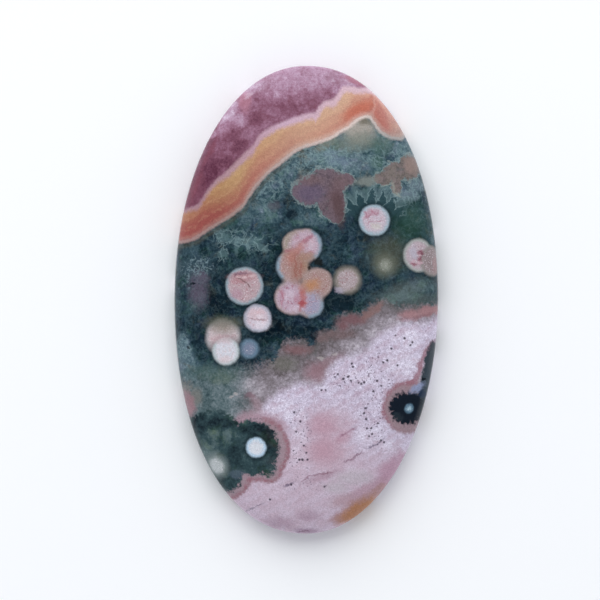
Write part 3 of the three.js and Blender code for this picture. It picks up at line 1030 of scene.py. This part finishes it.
# the deeper orbs' edge blur, rim width and dark halo
DEEP_LOOKS = (0.3, 0.3, 0.45)
for at_x, at_y, at_height, radius, *colours in DEEP_ORBS:
    rock = orb(rock, (at_x, at_y, at_height), radius, *DEEP_LOOKS, *colours)
rock = close_group(rock)

# The hearts of the orbs: rose and cream clouds, and thin arcs of iron that grew in rings. Some
# orbs are stained brown above, and a dark chink is left between those of the joined group.
open_group("orb hearts")
rock = stain(
    rock,
    ((164, 116, 122), 0.6, 1.2, (-6.2, 2.3, 1.3, 0.4), (-6.5, 1.9, 0.9, 0.3)),
    ((206, 182, 186), 0.6, 1.0, (-6.7, 2.2, 0.3, 0.12), (-6.1, 2.2, 0.25, 0.12), (-5.4, 2.3, 0.3, 0.12)),
    ((164, 128, 146), 0.5, 1.2, (-6.9, 0.55, 0.6, 0.5)),
    ((206, 174, 178), 0.5, 1.2, (-4.9, -1.4, 0.9, 0.5)),
    ((226, 220, 230), 0.5, 1.1, (-4.6, -1.6, 0.35, 0.2), (-4.4, -2.4, 0.8, 0.5)),
    ((100, 100, 86), 0.75, 1.4, (-8.2, -2.35, 1.6, 0.65)),
    ((150, 140, 132), 0.5, 1.5, (-8.2, -3.0, 1.2, 0.4)),
    ((196, 162, 168), 0.5, 1.2, (-8.3, -3.9, 1.0, 0.45)),
    ((208, 184, 186), 0.5, 1.1, (-8.0, -5.9, 0.7, 0.35)),
    ((24, 22, 18), 0.8, 0.9, (1.2, 3.75, 0.5, 0.3, -20), (0.3, 3.1, 0.2, 0.15)),
    ((178, 168, 186), 0.6, 1.0, (3.3, 0.95, 0.45, 0.3)),
    ((168, 116, 134), 0.55, 1.1, (6.0, 8.35, 0.25, 0.5, -20), (6.6, 8.6, 0.5, 0.2)),
    ((192, 190, 178), 0.5, 1.1, (6.9, 7.3, 0.5, 0.35)),
    ((176, 174, 190), 0.6, 1.1, (10.6, 4.6, 0.4, 0.7)),
    (
        (138, 84, 98), 0.75, 0.9, (11.35, 4.7, 0.35, 0.3), (11.2, 4.0, 0.25, 0.25),
        (10.6, 3.5, 0.4, 0.2, -20),
    ),
    ((196, 160, 172), 0.6, 0.9, (10.6, 3.8, 0.3, 0.15), (11.3, 4.4, 0.18, 0.15), (11.2, 3.6, 0.3, 0.15)),
    ((158, 124, 126), 0.5, 1.1, (12.8, 3.4, 0.25, 0.8)),
)
for shade, half_width, *points in (
    ((112, 80, 98), 0.09, (-7.1, 2.3), (-6.8, 2.6), (-5.9, 2.6)),
    ((104, 74, 76), 0.08, (-6.7, 2.1), (-6.4, 1.9), (-5.9, 1.6), (-5.6, 1.2)),
    ((150, 116, 120), 0.06, (-5.7, -1.95), (-4.9, -1.9), (-4.0, -1.95)),
    ((158, 112, 128), 0.08, (5.75, 8.6), (6.1, 8.1), (6.4, 8.7), (6.9, 8.45), (7.1, 8.6)),
    ((112, 64, 80), 0.07, (11.1, 4.9), (11.6, 4.75), (11.5, 4.3), (11.2, 3.9)),
    ((164, 126, 138), 0.06, (6.0, 7.5), (6.6, 7.8), (7.6, 7.7)),
):
    rock = vein(rock, shade, 0.7, half_width, 1.3, *points)
rock = close_group(rock)

# The pinholes: small hollows in the pale quartz, two tenths of a millimetre across, where
# crystals fell out as the stone was polished. The hollows aren't modelled; their shade is painted
# as dark dots, left dull.
PITS = [
    (8.8, -3.5), (9.7, -3.8), (10.5, -4.2), (10.3, -4.5), (8.4, -4.85), (8.0, -6.0), (7.6, -6.2),
    (9.0, -6.5), (4.5, -6.3), (4.6, -6.6), (3.1, -7.35), (2.8, -7.6), (4.1, -7.6), (3.65, -7.8),
    (4.4, -8.0), (5.15, -8.2), (5.4, -8.3), (5.7, -8.15), (7.0, -8.0), (7.4, -8.5), (6.6, -9.05),
    (1.5, -8.9), (1.9, -8.9), (5.8, -10.7), (5.7, -11.2), (5.9, -11.8), (7.05, -12.2),
    (6.0, -12.7), (6.4, -12.7), (6.5, -13.3), (6.2, -13.5), (7.4, -13.9), (7.7, -14.1),
    (-1.2, -11.1), (-0.6, -12.0), (-1.0, -13.0), (-0.25, -14.4), (0.0, -15.1), (0.1, -15.8),
    (-0.4, -15.8), (-0.7, -15.8), (1.8, -18.5), (-1.5, -18.3), (-3.6, -19.8),
]
PIT_RADIUS = 0.1
open_group("pits")
to_pits = [measure("DISTANCE", place, (at_x, at_y, face_height(at_x, at_y))) for at_x, at_y in PITS]
to_pit = to_pits[0]
for reach in to_pits[1:]:
    to_pit = reckon("MINIMUM", to_pit, reach)
to_pit = to_pit + ragged * 0.03 + crisp * 0.04
pitted = close_group(fade(to_pit, PIT_RADIUS + 0.07, PIT_RADIUS - 0.05))
# painted shade of the pinholes: dark dots where the hollows would be
rock = paint(rock, colour(74, 64, 78), pitted * 0.95)

# The polish: the face was brought up on a felt wheel to a smooth, slightly satin shine, duller in
# the pinholes, and the fine grain of the quartz shows through it.
QUARTZ_IOR = 1.54
SHINE = 0.14
POLISH_ROUGHNESS = 0.2
uneven = 1 + (grain * 0.14 + flecks * 0.05)
rock = grow("ShaderNodeVectorMath", 0, {0: rock, 3: uneven}, operation="SCALE")
shader = jasper.node_tree.nodes["Principled BSDF"]
jasper.node_tree.links.new(rock.socket, shader.inputs["Base Color"])
roughness = POLISH_ROUGHNESS + ragged * 0.03 + pitted * 0.3
jasper.node_tree.links.new(roughness.socket, shader.inputs["Roughness"])
shader.inputs["IOR"].default_value = QUARTZ_IOR
shader.inputs["Specular IOR Level"].default_value = SHINE
